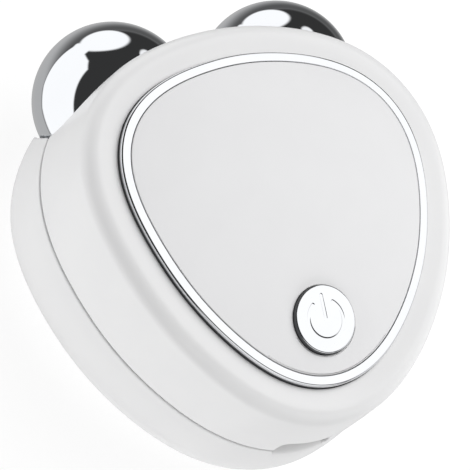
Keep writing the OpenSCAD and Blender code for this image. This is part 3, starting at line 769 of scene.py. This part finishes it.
def surface(name, colour, tint, rough, grain, depth, roughSwing=0.05, metal=0.0, ior=1.5, coat=0.0, blotch=6.0,
            along=(1, 1, 1), cells=False):
    # colour drifts to the tint over blotch mm; relief of depth mm comes in grains or cells of grain mm, and the
    # pattern is drawn out where a factor of along is small
    mat = newMaterial(name)
    at = addNode(mat, "ShaderNodeTexCoord").outputs["Object"]
    drawn = addNode(mat, "ShaderNodeMapping", Vector=at, Scale=along).outputs["Vector"]
    slow = addNode(mat, "ShaderNodeTexNoise", Vector=at, Scale=1000 / blotch, Detail=3.0).outputs["Fac"]
    if cells:
        fine = addNode(mat, "ShaderNodeTexVoronoi", Vector=drawn, Scale=1000 / grain).outputs["Distance"]
    else:
        fine = addNode(mat, "ShaderNodeTexNoise", Vector=drawn, Scale=1000 / grain, Detail=2.0).outputs["Fac"]
    mix = addNode(mat, "ShaderNodeMix", {"data_type": "RGBA"}, in0=slow, in6=hexColour(colour),
                  in7=hexColour(tint))
    swing = addNode(mat, "ShaderNodeMapRange", Value=fine, To_Min=rough - roughSwing, To_Max=rough + roughSwing)
    bump = addNode(mat, "ShaderNodeBump", Strength=0.5, Distance=depth * mm, Height=fine)
    shade = addNode(mat, "ShaderNodeBsdfPrincipled", Base_Color=mix.outputs[2], Roughness=swing.outputs[0],
                    Normal=bump.outputs[0], Metallic=metal, IOR=ior, Coat_Weight=coat)
    addNode(mat, "ShaderNodeOutputMaterial", Surface=shade.outputs[0])
    return mat


def paint(obj, *mats):
    # gives the piece these materials, in the order of its faces' indices
    if len(obj.data.materials):   # clearing also resets each face's index, so a bare mesh is left alone
        obj.data.materials.clear()
    for mat in mats:
        obj.data.materials.append(mat)


def boardMask():
    # green solder mask over etched copper: tracks in a 1.6 mm maze show lighter and stand 0.03 mm up
    mat = newMaterial("solder_mask_on_copper")
    at = addNode(mat, "ShaderNodeTexCoord").outputs["Object"]
    maze = addNode(mat, "ShaderNodeTexVoronoi", {"feature": "DISTANCE_TO_EDGE"}, Vector=at, Scale=1000 / 1.6,
                   Randomness=0.55)
    track = addNode(mat, "ShaderNodeMapRange", Value=maze.outputs["Distance"], From_Min=0.06, From_Max=0.1,
                    To_Min=1.0, To_Max=0.0)
    weave = addNode(mat, "ShaderNodeTexNoise", Vector=at, Scale=1000 / 0.5, Detail=2.0).outputs["Fac"]
    mix = addNode(mat, "ShaderNodeMix", {"data_type": "RGBA"}, in0=track.outputs[0], in6=hexColour("#14532F"),
                  in7=hexColour("#2F7F4B"))
    rise = addNode(mat, "ShaderNodeMath", {"operation": "MULTIPLY_ADD"}, in0=weave, in1=0.1,
                   in2=track.outputs[0])
    bump = addNode(mat, "ShaderNodeBump", Strength=0.6, Distance=0.03 * mm, Height=rise.outputs[0])
    swing = addNode(mat, "ShaderNodeMapRange", Value=weave, To_Min=0.26, To_Max=0.4)
    shade = addNode(mat, "ShaderNodeBsdfPrincipled", Base_Color=mix.outputs[2], Roughness=swing.outputs[0],
                    Normal=bump.outputs[0], IOR=1.52)
    addNode(mat, "ShaderNodeOutputMaterial", Surface=shade.outputs[0])
    return mat


# paint over moulded ABS: a soft sheen, the faint orange peel of the spray, white that hardly drifts
pearlAbs = surface("painted_abs_pearl_white", "#EEEEEE", "#EAEAEB", 0.36, 0.22, 0.004, coat=0.25)
# satin lacquer on a stamped plate: a shade greyer than the shell, smoother, and level
satinPanel = surface("satin_lacquer_face", "#EAEAEB", "#E6E6E7", 0.3, 0.12, 0.002, coat=0.3)
# chrome plate over moulded plastic: a mirror with a breath of haze
chrome = surface("bright_chrome_plate", "#EDEEF0", "#E6E8EB", 0.035, 0.8, 0.0004, roughSwing=0.015,
                 metal=1.0)
# polished and plated brass ball: cleaner still, with the last trace of the buffing
ballChrome = surface("polished_chrome_ball", "#F2F4F7", "#EDEFF2", 0.03, 1.2, 0.0004, roughSwing=0.012,
                     metal=1.0)
# dark grey on the lower sides of the ring and the button: painted shade along their edges, mat with a fine
# grain
paintedShadeAbs = surface("moulded_smoke_grey_abs", "#47484A", "#3F4042", 0.5, 0.3, 0.006, ior=1.54)
# glass filled plastic from a spark eroded tool: grey-black with a sandy grain
carrierPbt = surface("moulded_glass_filled_pbt", "#2B2D31", "#232529", 0.55, 0.35, 0.02, ior=1.55)
# natural acetal: waxy off-white
acetal = surface("moulded_natural_acetal", "#DAD9D3", "#D1CFC7", 0.38, 0.6, 0.004, ior=1.48)
# grey acetal of the switch plunger
greyAcetal = surface("moulded_grey_acetal", "#53545A", "#4A4B50", 0.4, 0.4, 0.004, ior=1.48)
# centreless ground stainless rod: grey, with fine lines round it
groundSteel = surface("ground_stainless_rod", "#BFC1C5", "#AEB0B5", 0.24, 0.16, 0.003, roughSwing=0.08,
                      metal=1.0, along=(0.12, 0.12, 1))
# zinc plate on a headed screw: a cool grey with darker clouds where it was handled
zincScrew = surface("zinc_plated_screw_steel", "#B4B8BE", "#94999F", 0.33, 0.5, 0.004, roughSwing=0.1,
                    metal=1.0, blotch=1.5)
# bronze powder pressed and sintered: brown, dull, pitted with open pores 0.2 mm apart
sinteredBronze = surface("sintered_oil_bronze", "#B07F4E", "#8F643A", 0.45, 0.2, 0.02, roughSwing=0.1,
                         metal=1.0, blotch=1.2, cells=True)
# phosphor bronze strip: warm, with the rolling lines along it
rolledBronze = surface("rolled_phosphor_bronze", "#CC9E63", "#B98850", 0.3, 0.14, 0.003,
                       roughSwing=0.08, metal=1.0, along=(1, 0.1, 1))
# gold flash on the socket's contacts
goldFlash = surface("gold_flashed_contact", "#E0BC66", "#D3A94F", 0.22, 0.3, 0.002, metal=1.0)
# nickel plate on drawn steel: brighter than zinc and faintly yellow
nickelSteel = surface("nickel_plated_drawn_steel", "#C9C7C1", "#BAB8B2", 0.25, 0.25, 0.003,
                      roughSwing=0.08, metal=1.0, along=(1, 0.15, 1))
# black liquid crystal polymer with flow marks along the tongue
flowPolymer = surface("moulded_black_lcp", "#1E1F21", "#2A2B2E", 0.48, 0.4, 0.006, ior=1.6,
                      along=(1, 0.2, 1))
# epoxy moulding compound of the chips: near black, mat, finely pitted
epoxyChip = surface("epoxy_moulding_compound", "#1B1B1D", "#242426", 0.58, 0.12, 0.008, ior=1.55)
# fired ferrite: dark grey with a mineral speckle
ferrite = surface("fired_ferrite_core", "#3A3A3D", "#29292C", 0.6, 0.25, 0.012, ior=1.6, blotch=0.6)
# barium titanate ceramic: tan, close and faintly glossy
tanCeramic = surface("fired_capacitor_ceramic", "#A88560", "#98764F", 0.35, 0.2, 0.003, ior=1.6, blotch=0.8)
# black glaze over the resistors' film
blackGlaze = surface("glazed_resistor_film", "#1F2023", "#2C2D31", 0.28, 0.3, 0.002, ior=1.52)
# aluminium laminate of the cell: silvery, with soft creases a few millimetres long
pouchFoil = surface("aluminium_laminate_pouch", "#A9ADB4", "#9A9EA6", 0.34, 2.4, 0.12, roughSwing=0.06,
                    metal=1.0, blotch=8)
# polyimide tape: clear amber, shiny
amberTape = surface("polyimide_amber_tape", "#C68E24", "#B87F1A", 0.2, 1.5, 0.01, ior=1.6, coat=0.4)
# open celled urethane foam, 0.35 mm cells
openFoam = surface("urethane_foam_strip", "#3A3B40", "#2E2F33", 0.85, 0.35, 0.12, ior=1.45, cells=True)
# acrylic foam tape: milky, tacky, mat
acrylicTape = surface("acrylic_foam_tape", "#CFC8AE", "#C4BC9F", 0.7, 0.5, 0.02, ior=1.47)
# nylon plug body
nylonPlug = surface("moulded_natural_nylon", "#E4E1D6", "#DBD7C9", 0.42, 0.5, 0.004, ior=1.53)
# soft PVC sleeves of the leads
redLead = surface("extruded_red_pvc", "#C2231C", "#B01B16", 0.36, 0.6, 0.004, ior=1.53)
blackLead = surface("extruded_black_pvc", "#232324", "#1B1B1C", 0.36, 0.6, 0.004, ior=1.53)
whiteLead = surface("extruded_white_pvc", "#DEDDD6", "#D3D2CA", 0.36, 0.6, 0.004, ior=1.53)

for piece in (frontShell, rearShell, bosses):
    paint(piece, pearlAbs)
paint(panel, satinPanel)
# the second material on the ring and the cap is the dark painted shade on their sides
paint(trimRing, chrome, paintedShadeAbs)
paint(cap, chrome, paintedShadeAbs)
paint(caseScrews, zincScrew)
paint(socketShell, nickelSteel)
paint(tongue, flowPolymer)
paint(contacts, goldFlash)
for piece in balls.values():
    paint(piece, ballChrome)

# what each part carried over from the frame is made of, by the start of its name
finishes = dict(
    front_shell=pearlAbs, rear_shell=pearlAbs, trim_ring=chrome, face_panel=satinPanel,
    panel_adhesive=acrylicTape, power_button=chrome, tact_switch=epoxyChip,
    switch_plunger=greyAcetal, main_board=boardMask(), board_screws=zincScrew,
    control_chip=epoxyChip, charge_chip=epoxyChip, boost_coil=ferrite,
    board_capacitors=tanCeramic, board_resistors=blackGlaze, charge_socket_shell=nickelSteel,
    charge_socket_tongue=flowPolymer, battery_cell=pouchFoil, battery_board=amberTape,
    battery_foam=openFoam, battery_plug=nylonPlug, battery_lead_red=redLead,
    battery_lead_black=blackLead, carrier=carrierPbt, axle=groundSteel, ball=ballChrome,
    hub=acetal, bush=sinteredBronze, clip=groundSteel, wiper=rolledBronze,
    electrode_lead=whiteLead, case_screws=zincScrew, carrier_screws=zincScrew)
for name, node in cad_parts.items():
    fits = [key for key in finishes if name.startswith(key)]
    paint(node, finishes[max(fits, key=len)])
print("materials given:", len(finishes))

# camera: focal length in mm, place in metres, and the directions of its own axes
camera = dict(lens=287.63, sensor=36.0, clipStart=0.01, clipEnd=10.0, place=(-0.2451333, -0.0920044, 0.4034204),
              right=(0.84100, -0.27839, 0.46391), up=(0.14028, 0.94033, 0.30999),
              back=(-0.52253, -0.19563, 0.82988))


def makeCamera():
    # the columns of its matrix are its right, up and back directions, then its place
    data = bpy.data.cameras.new("camera")
    data.lens, data.sensor_width = camera["lens"], camera["sensor"]
    data.clip_start, data.clip_end = camera["clipStart"], camera["clipEnd"]
    obj = newObject("camera", data)
    m = Matrix.Identity(4)
    for i, key in enumerate(("right", "up", "back", "place")):
        for j in range(3):
            m[j][i] = camera[key][j]
    obj.matrix_world = m
    bpy.context.scene.camera = obj


def direction(azimuth, elevation):
    # azimuth from +Y towards +X, elevation above the floor, in degrees
    a, e = math.radians(azimuth), math.radians(elevation)
    return Vector((math.sin(a) * math.cos(e), math.cos(a) * math.cos(e), math.sin(e)))


def softbox(name, azimuth, elevation, distance, width, height, watts):
    # white area lamp aimed at the middle of the object, seen by mat surfaces only; sizes in metres
    data = bpy.data.lights.new(name, "AREA")
    data.shape, data.size, data.size_y, data.energy = "RECTANGLE", width, height, watts
    obj = newObject(name, data)
    aim = Vector((0, 0, 0.015))
    obj.location = aim + direction(azimuth, elevation) * distance
    obj.rotation_mode = "QUATERNION"
    obj.rotation_quaternion = (obj.location - aim).to_track_quat("Z", "Y")
    obj.visible_camera = obj.visible_glossy = False
    return obj


def seenDirectly(tree):
    # 1 for rays from the camera, off gloss or through glass, 0 for the rest
    rays = addNode(tree, "ShaderNodeLightPath").outputs
    either = addNode(tree, "ShaderNodeMath", {"operation": "MAXIMUM"}, in0=rays["Is Camera Ray"],
                     in1=rays["Is Glossy Ray"])
    return addNode(tree, "ShaderNodeMath", {"operation": "MAXIMUM"}, in0=either.outputs[0],
                   in1=rays["Is Transmission Ray"]).outputs[0]


# floor: half its side and its height in metres; how much of it glows and how brightly, each as a value for mat
# rays and what direct sight adds to it
floor = dict(half=2.5, z=-0.00004, colour="#F4F4F4", share=0.5, shareSeen=0.3, glow=1.4, glowSeen=-0.32)


def makeFloor():
    # white sweep that partly glows, so that it lights the walls from below and still takes the shadow
    n, z = floor["half"], floor["z"]
    mesh = bpy.data.meshes.new("floor")
    mesh.from_pydata([(-n, -n, z), (n, -n, z), (n, n, z), (-n, n, z)], [], [(0, 1, 2, 3)])
    obj = newObject("floor", mesh)
    mat = newMaterial("matte_white_sweep")
    seen = seenDirectly(mat)
    share = addNode(mat, "ShaderNodeMath", {"operation": "MULTIPLY_ADD"}, in0=seen, in1=floor["shareSeen"],
                    in2=floor["share"])
    strength = addNode(mat, "ShaderNodeMath", {"operation": "MULTIPLY_ADD"}, in0=seen, in1=floor["glowSeen"],
                       in2=floor["glow"])
    matte = addNode(mat, "ShaderNodeBsdfDiffuse", Color=hexColour(floor["colour"]))
    glow = addNode(mat, "ShaderNodeEmission", Color=(1, 1, 1, 1), Strength=strength.outputs[0])
    mix = addNode(mat, "ShaderNodeMixShader", in0=share.outputs[0], in1=matte.outputs[0], in2=glow.outputs[0])
    addNode(mat, "ShaderNodeOutputMaterial", Surface=mix.outputs[0])
    obj.data.materials.append(mat)
    obj.visible_glossy = False


def makeWorld():
    # white where it is seen directly, and a dim fill for mat surfaces
    world = bpy.data.worlds.new("studio")
    bpy.context.scene.world = world
    world.use_nodes = True
    world.node_tree.nodes.clear()
    dim = addNode(world, "ShaderNodeBackground", Color=(1, 1, 1, 1), Strength=0.1)
    white = addNode(world, "ShaderNodeBackground", Color=(1, 1, 1, 1), Strength=1.0)
    mix = addNode(world, "ShaderNodeMixShader", in0=seenDirectly(world), in1=dim.outputs[0],
                  in2=white.outputs[0])
    addNode(world, "ShaderNodeOutputWorld", Surface=mix.outputs[0])


# what polished metal sees: dark cloth with bright windows, each as centre azimuth and elevation, half width and
# half height in degrees, level and blur; and a long window between two lines of elevation against azimuth
tent = dict(radius=0.5, sky=0.036, windows=(
    (76, 62, 46, 27, 1.2, 5), (5, 8, 22, 22, 1.1, 4), (43, 35, 9, 11, 1.0, 3), (108, 12, 34, 34, 0.75, 6),
    (-176, 30, 46, 28, 1.0, 6)),
    topLine=((-180, 0), (-130, -2), (-95, 2), (-42, 26), (-30, 21), (-22, 10), (-12, 12), (-6, 12)),
    lowLine=((-180, -58), (-90, -56), (-60, -51), (-40, -42), (-25, -28), (-12, -14), (-6, -14)))


def tentGlow(az, el):
    # brightness seen towards a direction: below the horizon the floor, shaded under and behind the object; each
    # window is its level x smooth of how far inside its ellipse the direction lies, over its blur
    t = tent
    side = np.abs((az - 5 + 180) % 360 - 180)
    under = 0.1 + 0.36 * smooth((-el - 16) / 30)
    openSide = 0.8 * smooth((side - 62) / 40) * (az > 0)
    glow = np.where(el < -2, np.maximum(under, openSide) * smooth((-el - 2) / 8), 0) + t["sky"] * (el > -10)
    top = np.interp(az, *np.array(t["topLine"], float).T)
    low = np.interp(az, *np.array(t["lowLine"], float).T)
    edge = smooth((low - el) / 5 + 0.9) * smooth((el - low) / 5 + 0.9) * (az < -8)
    glow = glow * (1 - 0.75 * edge)
    long = smooth((top - el) / 3 + 0.5) * smooth((el - low) / 4 + 0.5) * smooth((-6 - az) / 3)
    glow = np.maximum(glow, 1.1 * long)
    for wAz, wEl, wide, high, level, blur in t["windows"]:
        dAz = (az - wAz + 180) % 360 - 180
        r = np.hypot(dAz / wide, (el - wEl) / high)
        glow = np.maximum(glow, level * smooth((1 - r) * min(wide, high) / blur + 0.5))
    return glow


def makeTent():
    # a sphere of cloth that only reflections see, which gives the metal something dark to show
    rows, cols = 181, 361
    az, el = np.meshgrid(np.radians(np.linspace(-180, 180, cols)), np.radians(np.linspace(-90, 90, rows)))
    p = np.stack([np.sin(az) * np.cos(el), np.cos(az) * np.cos(el), np.sin(el)], axis=-1).reshape(-1, 3)
    mesh = bpy.data.meshes.new("reflection_tent")
    mesh.from_pydata([tuple(v) for v in p * tent["radius"]], [], gridFaces(rows, cols).tolist())
    obj = newObject("reflection_tent", mesh)
    glow = mesh.attributes.new("glow", "FLOAT", "POINT")
    glow.data.foreach_set("value", tentGlow(np.degrees(az).ravel(), np.degrees(el).ravel()).astype(np.float32))
    mat = newMaterial("reflection_tent")
    read = addNode(mat, "ShaderNodeAttribute", {"attribute_name": "glow"})
    light = addNode(mat, "ShaderNodeEmission", Color=(1, 1, 1, 1), Strength=read.outputs["Fac"])
    addNode(mat, "ShaderNodeOutputMaterial", Surface=light.outputs[0])
    mesh.materials.append(mat)
    obj.visible_camera = obj.visible_diffuse = obj.visible_shadow = obj.visible_transmission = False


makeCamera()
makeFloor()
makeWorld()
softbox("key", azimuth=70, elevation=56, distance=0.6, width=0.65, height=0.65, watts=4.25)
softbox("left low", azimuth=-75, elevation=8, distance=0.7, width=0.9, height=0.25, watts=2.5)
softbox("front low", azimuth=175, elevation=15, distance=0.7, width=0.7, height=0.25, watts=1.5)
makeTent()
bpy.context.scene.view_settings.view_transform = "Standard"
print("stage set")
